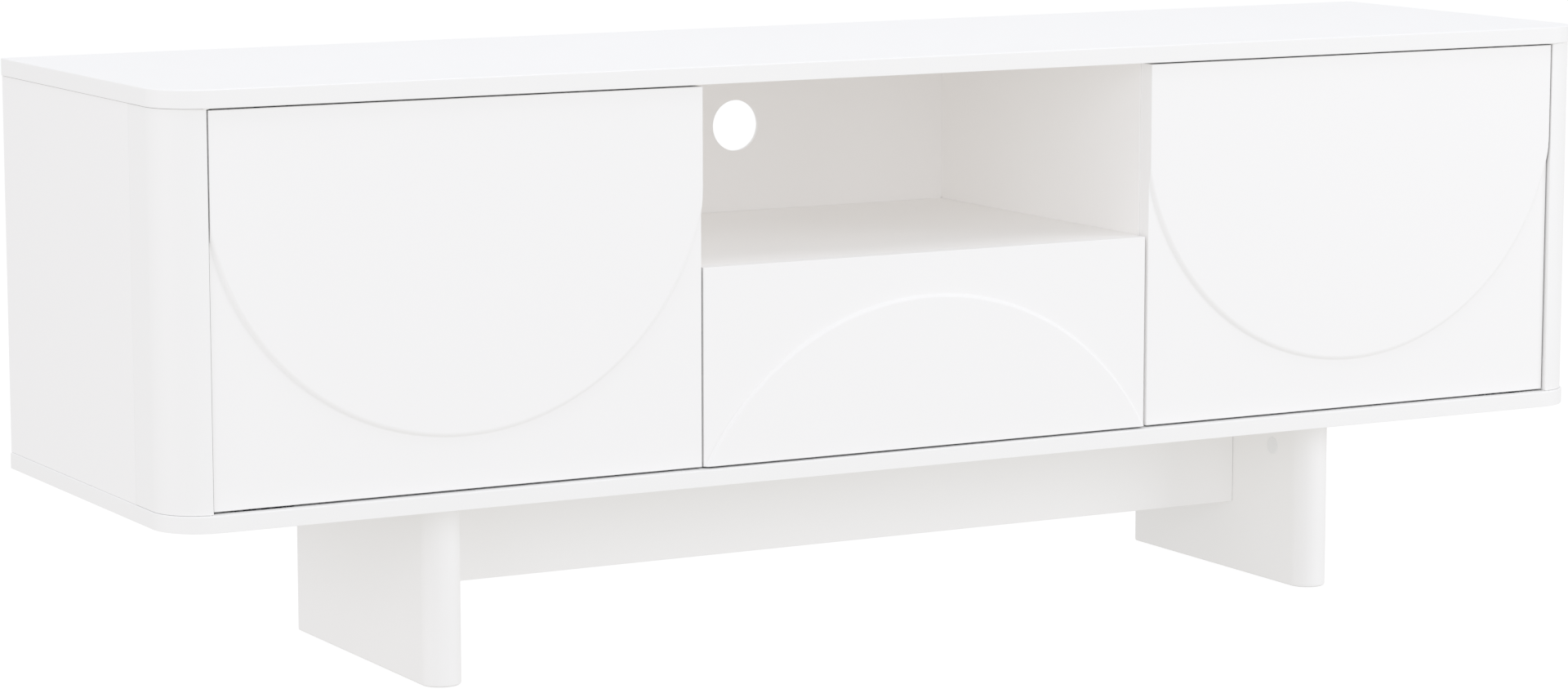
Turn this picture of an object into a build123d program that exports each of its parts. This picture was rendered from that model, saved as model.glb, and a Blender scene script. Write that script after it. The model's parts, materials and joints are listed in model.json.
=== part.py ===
# A long TV stand in white lacquer: a case on two blade legs, with a door at each side,
# an open niche in the middle and a drawer under the niche.
# Frame: origin on the floor under the middle, +X to the right, front towards -Y, +Z up. Millimetres.
import os
from math import hypot

from build123d import *

# ---------------------------------------------------------------- driving sizes
# overall
width = 1500.0
depth = 400.0
height = 548.0
leg_height = 170.0  # floor to the underside of the case, glides included

# case
top_thickness = 16.0
bottom_thickness = 15.0
panel_corner_radius = 45.0  # front corners of the top and bottom panels
panel_overhang = 1.0  # how far those panels stand proud of sides and posts
panel_edge_chamfer = 1.0
side_thickness = 16.0
post_width = 39.0
post_depth = 84.0
post_edge_chamfer = 0.6
divider_thickness = 16.0
divider_setback = 24.8  # front edge of a divider behind the front of the case
niche_width = 474.4
niche_shelf_height = 182.2  # top of the niche shelf over the bottom panel
niche_shelf_thickness = 16.0

# back panel, held in grooves, with one cable hole into the niche
back_thickness = 4.0
back_inset = 10.7  # rear face of the back panel in front of the rear of the case
groove_depth = 6.0
groove_clearance = 0.1
cable_hole_radius = 25.0
cable_hole_rise = 85.0  # centre over the niche shelf

# doors and drawer front
front_setback = 5.3  # raised face behind the front of the case
relief_height = 3.4  # raised disc over the rest of the front
relief_edge = 4.2  # width of its rounded edge
front_thickness = 15.0  # outside the disc
door_gap = 2.0  # above, below and beside a door, and under the drawer front
door_reveal = 1.2  # wall of the niche past the free edge of a door
drawer_front_gap = 2.3  # drawer front to the wall of the niche
door_disc_drop = 295.5  # lowest point of the disc under the door's top edge
door_disc_side_drop = 109.7  # where the disc runs off the sides of a door, under the door's top edge
drawer_disc_radius = 266.7
drawer_disc_rise = 141.2  # highest point of the disc over the drawer front's bottom edge

# knife hinges, let into the top and bottom edges of a door
hinge_pivot_in = 25.0  # pivot from the hinge edge of the door
hinge_pivot_back = 9.5  # pivot behind the raised face
hinge_pin_radius = 2.0
hinge_running_gap = 0.05
hinge_pin_reach = 5.0  # past the leaf, into the door
hinge_pin_room = 0.5  # round the pin in the door's wood
hinge_leaf_width = 9.0
hinge_leaf_length = 56.0
hinge_leaf_end = 5.0  # pivot from the near end of a leaf
hinge_leaf_thickness = 2.5
hinge_leaf_clearance = 0.05
hinge_collar_radius = 4.0  # collar that carries the door on the lower hinge
hinge_collar_slack = 0.1

# push latches behind the doors and the drawer front
latch_length = 62.0
latch_width = 16.0
latch_height = 18.0
latch_wall = 2.0
latch_plunger_rise = 11.0  # plunger from the panel that carries the latch
latch_plunger_size = 8.0
latch_running_gap = 0.05
latch_plunger_length = 34.0
latch_plunger_show = 4.0  # part of the plunger ahead of its housing
latch_touch_gap = 0.3
latch_edge_distance = 30.0  # plunger from the free edge of the door
latch_ear_length = 10.0
latch_ear_thickness = 3.0
strike_size = 14.0
strike_thickness = 1.2

# drawer box
drawer_board = 12.0
drawer_rear_clearance = 21.6  # drawer box to the back panel
drawer_box_height = 135.0
drawer_box_rise = 18.0  # underside of the sides over the bottom panel
drawer_bottom_thickness = 6.0
drawer_bottom_rise = 10.0  # drawer bottom over the underside of the sides
drawer_bottom_groove = 5.0
drawer_back_groove = 5.0  # depth of the grooves in the sides that hold the back
drawer_back_inset = 8.0  # back from the rear ends of the sides

# three-member ball runners
runner_width = 12.7
runner_height = 45.0
runner_rear_clearance = 7.5  # rear end of a runner to the back panel
runner_setback = 3.0  # behind the front edge of a divider
runner_rise = 62.0  # middle of a runner over the underside of the drawer sides
runner_sheet = 1.2
runner_lip = 2.4
runner_nest_gap = 1.4  # between the webs of two members
runner_flange_gap = 3.2  # middle member's flanges short of the drawer side
ball_space = 4.1
cage_shortfall = 100.0  # a cage is this much shorter than its runner
cage_play = 0.3
cage_rest = 10.0  # rear end of a cage from the rear end of the runner, drawer shut

# shelves of the side compartments, their ends housed in the boards
shelf_thickness = 16.0
shelf_height = 168.0  # top of a shelf over the bottom panel
shelf_housing = 5.0
shelf_front_clearance = 10.0  # behind the corner posts
shelf_edge_chamfer = 0.8

# loose tongues, glued into grooves on both sides of a joint
tongue_thickness = 4.0
tongue_in_panel = 8.0
tongue_in_board = 12.0
tongue_side_clearance = 0.1
tongue_end_clearance = 0.5
tongue_end_distance = 15.0  # from the visible end of a joint

# legs and stretcher
leg_thickness = 37.0
leg_setback = 52.6  # front of a leg behind the front of the case
leg_length = 298.0
leg_inset = 280.0  # middle of a leg from the end of the case
stretcher_setback = 173.0
stretcher_thickness = 18.0
stretcher_height = 100.0
glide_width = 20.0
glide_length = 40.0
glide_thickness = 1.0
glide_end_distance = 40.0

# cam fittings that hold the legs
cam_radius = 7.5
cam_depth = 13.0
cam_clearance = 0.1
cam_distance = 33.5  # cam from the joint
cam_bolt_radius = 3.0
cam_bolt_thread = 10.0  # length in the far piece
cam_bolt_depth = 8.0  # bolt behind the face that the cam is sunk in
cam_end_distance = 52.0  # cam from the front or rear end of a leg

# ---------------------------------------------------------------- levels and planes
case_front = -depth / 2
case_rear = depth / 2
case_bottom = leg_height
case_floor = case_bottom + bottom_thickness
case_ceiling = height - top_thickness
outer_x = width / 2 - panel_overhang
side_inner_x = outer_x - side_thickness
post_inner_x = outer_x - post_width
post_front_y = case_front + panel_overhang
post_rear_y = post_front_y + post_depth
niche_x = niche_width / 2
divider_outer_x = niche_x + divider_thickness
divider_front_y = case_front + divider_setback
back_rear_y = case_rear - back_inset
back_front_y = back_rear_y - back_thickness
niche_shelf_top = case_floor + niche_shelf_height
niche_shelf_bottom = niche_shelf_top - niche_shelf_thickness

raised_y = case_front + front_setback
flat_y = raised_y + relief_height
front_rear_y = flat_y + front_thickness
front_bottom = case_floor + door_gap
door_top = case_ceiling - door_gap
door_hinge_x = post_inner_x - door_gap
door_free_x = niche_x + door_reveal
drawer_front_x = niche_x - drawer_front_gap
pivot_x = door_hinge_x - hinge_pivot_in
pivot_y = raised_y + hinge_pivot_back

drawer_side_outer_x = niche_x - runner_width
drawer_side_inner_x = drawer_side_outer_x - drawer_board
drawer_box_bottom = case_floor + drawer_box_rise
drawer_box_top = drawer_box_bottom + drawer_box_height
drawer_box_rear_y = back_front_y - drawer_rear_clearance
drawer_back_y = drawer_box_rear_y - drawer_back_inset - drawer_board
drawer_bottom_z = drawer_box_bottom + drawer_bottom_rise
drawer_back_z = drawer_bottom_z + drawer_bottom_thickness
runner_front_y = divider_front_y + runner_setback
runner_rear_y = back_front_y - runner_rear_clearance
runner_z = drawer_box_bottom + runner_rise

shelf_top = case_floor + shelf_height
shelf_front_y = post_rear_y + shelf_front_clearance

leg_x = width / 2 - leg_inset
leg_inner_x = leg_x - leg_thickness / 2
leg_front_y = case_front + leg_setback
leg_rear_y = leg_front_y + leg_length
stretcher_front_y = case_front + stretcher_setback
stretcher_rear_y = stretcher_front_y + stretcher_thickness


# ---------------------------------------------------------------- helpers
# Pieces that come in mirror pairs are modelled on the right, where x is positive.
def block(x0, x1, y0, y1, z0, z1):
    """Box between two corners."""
    middle = Pos((x0 + x1) / 2, (y0 + y1) / 2, (z0 + z1) / 2)
    return middle * Box(abs(x1 - x0), abs(y1 - y0), abs(z1 - z0))


def rod(point, direction, radius, length):
    """Round bar from a point along a direction."""
    upright = Cylinder(radius, length, align=(Align.CENTER, Align.CENTER, Align.MIN))
    return Plane(origin=point, z_dir=direction) * upright


def cut(body, tools):
    for tool in tools:
        body = body - tool
    return body


def other_side(shape):
    """The same piece on the other side of the middle plane."""
    return mirror(shape, about=Plane.YZ)


def both_sides(shapes):
    return [copy for shape in shapes for copy in (shape, other_side(shape))]


def save(name, *shapes):
    """Write one node. Several shapes are a group of separate solids."""
    solids = [solid for shape in shapes for solid in shape.solids()]
    node = solids[0] if len(solids) == 1 else Compound(children=solids)
    export_step(node, f"parts/{name}.step")


# ---------------------------------------------------------------- case
def rounded_slab(half_width, front_y, z0, z1, corner_radius):
    """Slab square at the rear and rounded at its front corners."""
    slab = block(-half_width, half_width, front_y, case_rear, z0, z1)
    return fillet(slab.edges().filter_by(Axis.Z).group_by(Axis.Y)[0], corner_radius)


def outer_panel(z0, z1):
    """Top or bottom panel with eased edges."""
    panel = rounded_slab(width / 2, case_front, z0, z1, panel_corner_radius)
    levels = panel.faces().filter_by(Axis.Z)
    return chamfer([edge for level in levels for edge in level.edges()], panel_edge_chamfer)


def back_groove():
    """Room for the back panel, with its clearance, round the whole case."""
    reach_x = side_inner_x + groove_depth
    return block(-reach_x, reach_x, back_front_y - groove_clearance, back_rear_y + groove_clearance,
                 case_floor - groove_depth, case_ceiling + groove_depth)


def back_panel():
    reach = groove_depth - groove_clearance
    panel = block(-side_inner_x - reach, side_inner_x + reach, back_front_y, back_rear_y,
                  case_floor - reach, case_ceiling + reach)
    hole_start = (0, back_front_y - 1, niche_shelf_top + cable_hole_rise)
    return panel - rod(hole_start, (0, 1, 0), cable_hole_radius, back_thickness + 2)


def corner_post():
    """Solid post that rounds the front corner under the panels' own curve."""
    round_case = rounded_slab(outer_x, post_front_y, case_floor, case_ceiling,
                              panel_corner_radius - panel_overhang)
    post = round_case & block(post_inner_x, outer_x, post_front_y, post_rear_y, case_floor, case_ceiling)
    inner_edges = post.edges().filter_by(Axis.Z).group_by(Axis.X)[0]
    return chamfer(inner_edges.sort_by(Axis.Y)[0], post_edge_chamfer)


def side_panel():
    return block(side_inner_x, outer_x, post_rear_y, case_rear, case_floor, case_ceiling)


def divider():
    return block(niche_x, divider_outer_x, divider_front_y, back_front_y, case_floor, case_ceiling)


def niche_shelf():
    return block(-niche_x, niche_x, divider_front_y, back_front_y, niche_shelf_bottom, niche_shelf_top)


def side_shelf():
    """Shelf of a side compartment, its ends in the housings of the boards."""
    shelf = block(divider_outer_x - shelf_housing, side_inner_x + shelf_housing,
                  shelf_front_y, back_front_y, shelf_top - shelf_thickness, shelf_top)
    return chamfer(shelf.edges().filter_by(Axis.X).group_by(Axis.Y)[0], shelf_edge_chamfer)


# ---------------------------------------------------------------- tongue joints
def tongue_joint(point, into_panel, along, length):
    """A loose tongue across a joint and the room for it. point is the middle of the joint line,
    into_panel leads to the side that it reaches less, along is the way the tongue runs."""
    across = Vector(*into_panel).cross(Vector(*along))
    joint = Plane(origin=point, x_dir=along, z_dir=across)
    middle = Pos(0, (tongue_in_panel - tongue_in_board) / 2 * joint.y_dir.dot(Vector(*into_panel)))
    reach = tongue_in_panel + tongue_in_board
    tongue = joint * middle * Box(length, reach, tongue_thickness)
    room = joint * middle * Box(length + 2 * tongue_end_clearance, reach + 2 * tongue_end_clearance,
                                tongue_thickness + 2 * tongue_side_clearance)
    return tongue, room


def upright_joints(x, y0, y1):
    """Tongues at the foot and the head of an upright board that runs from y0 to y1."""
    length = y1 - y0 - 2 * tongue_end_distance
    middle = (y0 + y1) / 2
    return [tongue_joint((x, middle, case_floor), (0, 0, -1), (0, 1, 0), length),
            tongue_joint((x, middle, case_ceiling), (0, 0, 1), (0, 1, 0), length)]


def case_joints():
    side_x = outer_x - side_thickness / 2
    joints = upright_joints(side_x, post_rear_y, back_front_y)
    joints += upright_joints(outer_x - post_width / 2, post_front_y, post_rear_y)
    joints += upright_joints(niche_x + divider_thickness / 2, divider_front_y, back_front_y)
    upright = case_ceiling - case_floor - 4 * tongue_end_distance
    joints.append(tongue_joint((side_x, post_rear_y, (case_floor + case_ceiling) / 2), (0, 1, 0),
                               (0, 0, 1), upright))
    shelf_middle = ((divider_front_y + back_front_y) / 2, niche_shelf_top - niche_shelf_thickness / 2)
    joints.append(tongue_joint((niche_x, *shelf_middle), (1, 0, 0), (0, 1, 0),
                               back_front_y - divider_front_y - 2 * tongue_end_distance))
    return joints


def drawer_joint():
    """Tongue between a drawer side and the drawer front."""
    side_x = drawer_side_outer_x - drawer_board / 2
    middle = (drawer_back_z + drawer_box_top) / 2
    return tongue_joint((side_x, front_rear_y, middle), (0, -1, 0), (0, 0, 1),
                        drawer_box_top - drawer_back_z - 2 * tongue_end_distance)


def stretcher_joint():
    """Tongue between an end of the stretcher and the leg."""
    middle = (stretcher_front_y + stretcher_rear_y) / 2
    return tongue_joint((leg_inner_x, middle, case_bottom - stretcher_height / 2), (1, 0, 0), (0, 0, 1),
                        stretcher_height - 2 * tongue_end_distance)


# ---------------------------------------------------------------- doors and drawer front
def relief_front(x0, x1, z0, z1, disc_x, disc_z, disc_radius, raised_above=False):
    """Slab with a raised disc. The whole profile is turned about the disc's middle, then cut to outline.
    An arc that leaves the raised face smoothly makes the disc's rounded edge.
    With raised_above the face stays raised from the disc's middle upwards, to the full width."""
    corner = max(hypot(x - disc_x, z - disc_z) for x in (x0, x1) for z in (z0, z1))
    rim = max(corner, disc_radius) + front_thickness
    crest = (disc_radius - relief_edge, relief_height)
    foot = (disc_radius, 0)
    profile = make_face([
        Line((0, -front_thickness), (0, relief_height)),
        Line((0, relief_height), crest),
        TangentArc(crest, foot, tangent=(1, 0)),
        Line(foot, (rim, 0)),
        Line((rim, 0), (rim, -front_thickness)),
        Line((rim, -front_thickness), (0, -front_thickness)),
    ])
    radial_plane = Plane(origin=(disc_x, flat_y, disc_z), x_dir=(1, 0, 0), z_dir=(0, 0, -1))
    body = revolve(radial_plane * profile, axis=Axis((disc_x, flat_y, disc_z), (0, 1, 0)))
    if raised_above:
        body += block(x0, x1, raised_y, front_rear_y, disc_z, disc_z + rim)
    return body & block(x0, x1, raised_y - 1, front_rear_y, z0, z1)


def door_panel():
    """Above the middle of the disc the raised face runs on to both sides and to the top."""
    disc_x = (door_free_x + door_hinge_x) / 2
    half_width = (door_hinge_x - door_free_x) / 2
    arc_height = door_disc_drop - door_disc_side_drop
    disc_radius = (half_width**2 + arc_height**2) / (2 * arc_height)
    disc_z = door_top - door_disc_drop + disc_radius
    return relief_front(door_free_x, door_hinge_x, front_bottom, door_top, disc_x, disc_z, disc_radius,
                        raised_above=True)


def drawer_front():
    disc_z = front_bottom + drawer_disc_rise - drawer_disc_radius
    return relief_front(-drawer_front_x, drawer_front_x, front_bottom, niche_shelf_top, 0, disc_z,
                        drawer_disc_radius)


# ---------------------------------------------------------------- knife hinges
def knife_hinge(case_z, up, collar_radius):
    """Hinge between a panel of the case at case_z and the edge of the door, which lies up from it."""
    door_z = case_z + up * door_gap
    into_door = (0, 0, up)
    x0 = pivot_x + hinge_leaf_end - hinge_leaf_length
    x1 = pivot_x + hinge_leaf_end

    def leaf(z, direction, clearance=0.0):
        half = hinge_leaf_width / 2 + clearance
        return block(x0 - clearance, x1 + clearance, pivot_y - half, pivot_y + half,
                     z, z + direction * hinge_leaf_thickness)

    def on_pivot(z, radius, length):
        return rod((pivot_x, pivot_y, z), into_door, radius, length)

    pin_length = door_gap + hinge_leaf_thickness + hinge_pin_reach
    case_leaf = leaf(case_z, -up) + on_pivot(case_z, hinge_pin_radius, pin_length)
    if collar_radius > hinge_pin_radius:
        case_leaf += on_pivot(case_z, collar_radius, door_gap - hinge_collar_slack)
    bore = on_pivot(door_z, hinge_pin_radius + hinge_running_gap, hinge_leaf_thickness)
    pin_room = on_pivot(door_z, hinge_pin_radius + hinge_pin_room,
                        hinge_leaf_thickness + hinge_pin_reach + hinge_pin_room)
    return {
        "case_leaf": case_leaf,
        "door_leaf": leaf(door_z, up) - bore,
        "case_room": leaf(case_z, -up, hinge_leaf_clearance),
        "door_room": leaf(door_z, up, hinge_leaf_clearance) + pin_room,
    }


# ---------------------------------------------------------------- push latches
def push_latch(x, panel_z, away):
    """Latch screwed to a panel of the case. away is up or down, from the panel to the latch.
    Its plunger holds the steel strike plate on the rear of the front."""
    strike_y = front_rear_y + strike_thickness
    tip_y = strike_y + latch_touch_gap
    body_y = tip_y + latch_plunger_show
    body_rear_y = body_y + latch_length
    plunger_z = panel_z + away * latch_plunger_rise
    x0, x1 = x - latch_width / 2, x + latch_width / 2
    body = block(x0, x1, body_y, body_rear_y, panel_z, panel_z + away * latch_height)
    body += block(x0, x1, body_rear_y, body_rear_y + latch_ear_length,
                  panel_z, panel_z + away * latch_ear_thickness)

    def square_bar(size, y0, y1):
        return block(x - size / 2, x + size / 2, y0, y1, plunger_z - size / 2, plunger_z + size / 2)

    return {
        "housing": body - square_bar(latch_plunger_size + 2 * latch_running_gap, body_y, body_rear_y - latch_wall),
        "plunger": square_bar(latch_plunger_size, tip_y, tip_y + latch_plunger_length),
        "strike": square_bar(strike_size, front_rear_y, strike_y),
    }


# ---------------------------------------------------------------- drawer box and runners
def drawer_side():
    side = block(drawer_side_inner_x, drawer_side_outer_x, front_rear_y, drawer_box_rear_y,
                 drawer_box_bottom, drawer_box_top)
    return cut(side, [drawer_bottom(0), drawer_back()])


def drawer_back():
    """Back over the drawer bottom, its ends in the grooves of the sides."""
    reach = drawer_side_inner_x + drawer_back_groove
    return block(-reach, reach, drawer_back_y, drawer_back_y + drawer_board, drawer_back_z, drawer_box_top)


def drawer_bottom(clearance):
    """Drawer bottom, in the grooves of sides and front and under the back."""
    reach = drawer_bottom_groove - clearance
    return block(-drawer_side_inner_x - reach, drawer_side_inner_x + reach,
                 front_rear_y - reach, drawer_back_y + drawer_board, drawer_bottom_z, drawer_back_z)


def channel(web, flange_end, half_height, lip=0.0):
    """Bent channel along the runner. Its web and the ends of its flanges are given from the wall
    of the niche inwards."""
    inward = runner_sheet if flange_end > web else -runner_sheet
    lower = [(web, -half_height), (flange_end, -half_height)]
    if lip:
        lower += [(flange_end, lip - half_height), (flange_end - inward, lip - half_height),
                  (flange_end - inward, runner_sheet - half_height)]
    else:
        lower += [(flange_end, runner_sheet - half_height)]
    lower += [(web + inward, runner_sheet - half_height)]
    upper = [(across, -rise) for across, rise in reversed(lower)]
    section = Plane(origin=(niche_x, runner_front_y, runner_z), x_dir=(-1, 0, 0), z_dir=(0, 1, 0))
    return extrude(section * make_face(Polyline(*lower, *upper, close=True)), runner_rear_y - runner_front_y)


def runner():
    """The three members of a runner and its ball cages."""
    outer_half = runner_height / 2
    middle_half = outer_half - runner_sheet - ball_space
    inner_half = middle_half - runner_sheet - ball_space
    middle_web = runner_sheet + runner_nest_gap
    middle_end = runner_width - runner_flange_gap
    outer_end = middle_end + runner_sheet / 2
    inner_end = middle_web + runner_sheet + runner_nest_gap
    cage_rear_y = runner_rear_y - cage_rest
    cage_front_y = runner_front_y + cage_shortfall - cage_rest

    def cages(track_half, near, far):
        low = track_half + cage_play
        high = track_half + ball_space - cage_play
        return [block(niche_x - far, niche_x - near, cage_front_y, cage_rear_y,
                      runner_z + side * low, runner_z + side * high) for side in (1, -1)]

    return {
        "outer_members": [channel(0, outer_end, outer_half, runner_lip)],
        "middle_members": [channel(middle_web, middle_end, middle_half)],
        "inner_members": [channel(runner_width, inner_end, inner_half)],
        "outer_cages": cages(middle_half, middle_web, outer_end - runner_sheet - cage_play),
        "inner_cages": cages(inner_half, inner_end + cage_play, middle_end),
    }


# ---------------------------------------------------------------- legs
def leg():
    """Blade with a full bullnose in front and a square rear end."""
    nose = leg_thickness / 2
    blade = block(leg_x - nose, leg_x + nose, leg_front_y + nose, leg_rear_y, glide_thickness, case_bottom)
    return blade + rod((leg_x, leg_front_y + nose, glide_thickness), (0, 0, 1), nose, case_bottom - glide_thickness)


def stretcher():
    return block(-leg_inner_x, leg_inner_x, stretcher_front_y, stretcher_rear_y,
                 case_bottom - stretcher_height, case_bottom)


def glides():
    """Felt pads under a leg."""
    return [block(leg_x - glide_width / 2, leg_x + glide_width / 2, y - glide_length / 2, y + glide_length / 2,
                  0, glide_thickness) for y in (leg_front_y + glide_end_distance, leg_rear_y - glide_end_distance)]


def cam_fittings():
    """Cams sunk in the inner face of a leg. Their bolts stand in the bottom panel."""
    fittings = []
    bolt_x = leg_inner_x + cam_bolt_depth
    cam_z = case_bottom - cam_distance
    bolt_length = cam_bolt_thread + cam_distance - cam_radius
    for y in (leg_front_y + cam_end_distance, leg_rear_y - cam_end_distance):
        cam_face = (leg_inner_x, y, cam_z)
        bolt_head = (bolt_x, y, case_bottom + cam_bolt_thread)
        fittings.append({
            "cam": rod(cam_face, (1, 0, 0), cam_radius, cam_depth),
            "bolt": rod(bolt_head, (0, 0, -1), cam_bolt_radius, bolt_length),
            "cam_room": rod(cam_face, (1, 0, 0), cam_radius + cam_clearance, cam_depth),
            "bolt_room": rod(bolt_head, (0, 0, -1), cam_bolt_radius, bolt_length),
        })
    return fittings


# ---------------------------------------------------------------- assembly
def save_case(lower_hinge, upper_hinge, fittings):
    joints = case_joints()
    rooms = [room for _, room in joints]
    shelf = side_shelf()
    bolt_rooms = [fitting["bolt_room"] for fitting in fittings]

    top = outer_panel(case_ceiling, height) - back_groove()
    save("top_panel", cut(top, both_sides([*rooms, upper_hinge["case_room"]])))
    bottom = outer_panel(case_bottom, case_floor) - back_groove()
    save("bottom_panel", cut(bottom, both_sides([*rooms, lower_hinge["case_room"], *bolt_rooms])))
    save("back_panel", back_panel())
    save("niche_shelf", cut(niche_shelf(), both_sides(rooms)))
    pieces = {
        "corner_post": cut(corner_post(), rooms),
        "side_panel": cut(side_panel() - back_groove(), [*rooms, shelf]),
        "divider": cut(divider(), [*rooms, shelf]),
        "shelf": shelf,
    }
    for name, piece in pieces.items():
        save(f"right_{name}", piece)
        save(f"left_{name}", other_side(piece))
    save("case_tongues", *both_sides([tongue for tongue, _ in joints]))


def save_legs(fittings):
    tongue, room = stretcher_joint()
    blade = cut(leg(), [room, *(fitting[hole] for fitting in fittings for hole in ("cam_room", "bolt_room"))])
    save("right_leg", blade)
    save("left_leg", other_side(blade))
    save("stretcher", cut(stretcher(), both_sides([room])))
    save("stretcher_tongues", *both_sides([tongue]))
    save("leg_cams", *both_sides([fitting["cam"] for fitting in fittings]))
    save("leg_bolts", *both_sides([fitting["bolt"] for fitting in fittings]))
    save("leg_glides", *both_sides(glides()))


def save_doors(lower_hinge, upper_hinge):
    hinges = (lower_hinge, upper_hinge)
    latch = push_latch(door_free_x + latch_edge_distance, case_ceiling, -1)
    pieces = {
        "door_panel": [cut(door_panel(), [hinge["door_room"] for hinge in hinges])],
        "door_leaves": [hinge["door_leaf"] for hinge in hinges],
        "case_leaves": [hinge["case_leaf"] for hinge in hinges],
        "strike_plate": [latch["strike"]],
        "latch_housing": [latch["housing"]],
        "latch_plunger": [latch["plunger"]],
    }
    for name, solids in pieces.items():
        save(f"right_{name}", *solids)
        save(f"left_{name}", *[other_side(solid) for solid in solids])


def save_drawer():
    latch = push_latch(0, case_floor, 1)
    tongue, room = drawer_joint()
    side = drawer_side() - room
    save("drawer_right_side", side)
    save("drawer_left_side", other_side(side))
    save("drawer_front", cut(drawer_front(), [drawer_bottom(0), *both_sides([room])]))
    save("drawer_back", drawer_back())
    save("drawer_bottom", drawer_bottom(groove_clearance))
    save("drawer_tongues", *both_sides([tongue]))
    save("drawer_strike_plate", latch["strike"])
    save("drawer_latch_housing", latch["housing"])
    save("drawer_latch_plunger", latch["plunger"])
    for name, solids in runner().items():
        save(f"runner_{name}", *both_sides(solids))


def main():
    os.makedirs("parts", exist_ok=True)
    lower_hinge = knife_hinge(case_floor, 1, hinge_collar_radius)
    upper_hinge = knife_hinge(case_ceiling, -1, 0)
    fittings = cam_fittings()
    save_case(lower_hinge, upper_hinge, fittings)
    save_legs(fittings)
    save_doors(lower_hinge, upper_hinge)
    save_drawer()


main()
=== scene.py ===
# TV stand with doors: the finish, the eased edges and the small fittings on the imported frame
import json
from math import atan, cos, hypot, pi, radians, sin

import bmesh
import bpy
from mathutils import Matrix, Vector


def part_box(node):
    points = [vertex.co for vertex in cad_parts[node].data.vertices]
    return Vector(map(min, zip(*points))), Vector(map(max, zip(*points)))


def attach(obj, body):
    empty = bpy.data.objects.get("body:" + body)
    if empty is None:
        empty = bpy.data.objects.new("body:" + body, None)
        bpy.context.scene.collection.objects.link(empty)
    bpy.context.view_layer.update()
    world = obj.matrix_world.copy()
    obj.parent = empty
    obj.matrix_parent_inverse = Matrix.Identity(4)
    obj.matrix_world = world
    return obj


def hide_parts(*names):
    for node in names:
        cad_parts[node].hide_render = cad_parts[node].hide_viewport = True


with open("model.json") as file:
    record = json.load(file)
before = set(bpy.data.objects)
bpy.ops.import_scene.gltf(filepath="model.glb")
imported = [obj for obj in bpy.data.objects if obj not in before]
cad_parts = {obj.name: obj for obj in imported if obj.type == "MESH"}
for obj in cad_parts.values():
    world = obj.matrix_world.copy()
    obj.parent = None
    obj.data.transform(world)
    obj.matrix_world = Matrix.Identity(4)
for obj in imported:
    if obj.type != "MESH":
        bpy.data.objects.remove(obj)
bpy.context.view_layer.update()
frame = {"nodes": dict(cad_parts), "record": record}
nodes = frame["nodes"]
sides = (("right", 1), ("left", -1))
print("frame loaded:", len(nodes), "nodes")

# ---- camera
camera = {"place": (-2.1642, -3.8205, 0.8904), "turn": (81.77, 0.044, -28.987), "lens": 106.45, "sensorWidth": 36,
          "clipEnd": 200}

bpy.ops.object.select_all(action="DESELECT")
bpy.ops.object.camera_add(location=camera["place"], rotation=[radians(angle) for angle in camera["turn"]])
bpy.context.scene.camera = bpy.context.object
bpy.context.object.data.lens = camera["lens"]
bpy.context.object.data.sensor_width = camera["sensorWidth"]
bpy.context.object.data.clip_end = camera["clipEnd"]
print("camera placed")


# ---- node groups that several materials share
def startGroup(name, inputs, outputs):
    group = bpy.data.node_groups.new(name, "ShaderNodeTree")
    for socketName, kind, value in inputs:
        socket = group.interface.new_socket(name=socketName, in_out="INPUT", socket_type=kind)
        socket.default_value = value
    for socketName, kind in outputs:
        group.interface.new_socket(name=socketName, in_out="OUTPUT", socket_type=kind)
    start = group.nodes.new("NodeGroupInput")
    end = group.nodes.new("NodeGroupOutput")
    return group, start, end


def addNode(tree, kind, **settings):
    # a setting is the node's own, or else the input of that name
    node = tree.nodes.new(kind)
    for name, value in settings.items():
        if hasattr(node, name):
            setattr(node, name, value)
        else:
            node.inputs[name.replace("_", " ").title()].default_value = value
    return node


coat = {
    "mottleScale": 3.5, "mottleDetail": 3.0,  # slow change of the tint
    "cloudScale": 28.0, "cloudDetail": 4.0, "glossSwing": 0.03,  # patches of more and less gloss
    "peelScale": 620.0, "peelDetail": 2.0, "peelHeight": 0.00004,
    # reach, limits and samples of the painted shade in narrow gaps
    "gapReach": 0.006, "gapClosed": 0.12, "gapOpen": 0.34, "gapSamples": 8,
}


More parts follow.
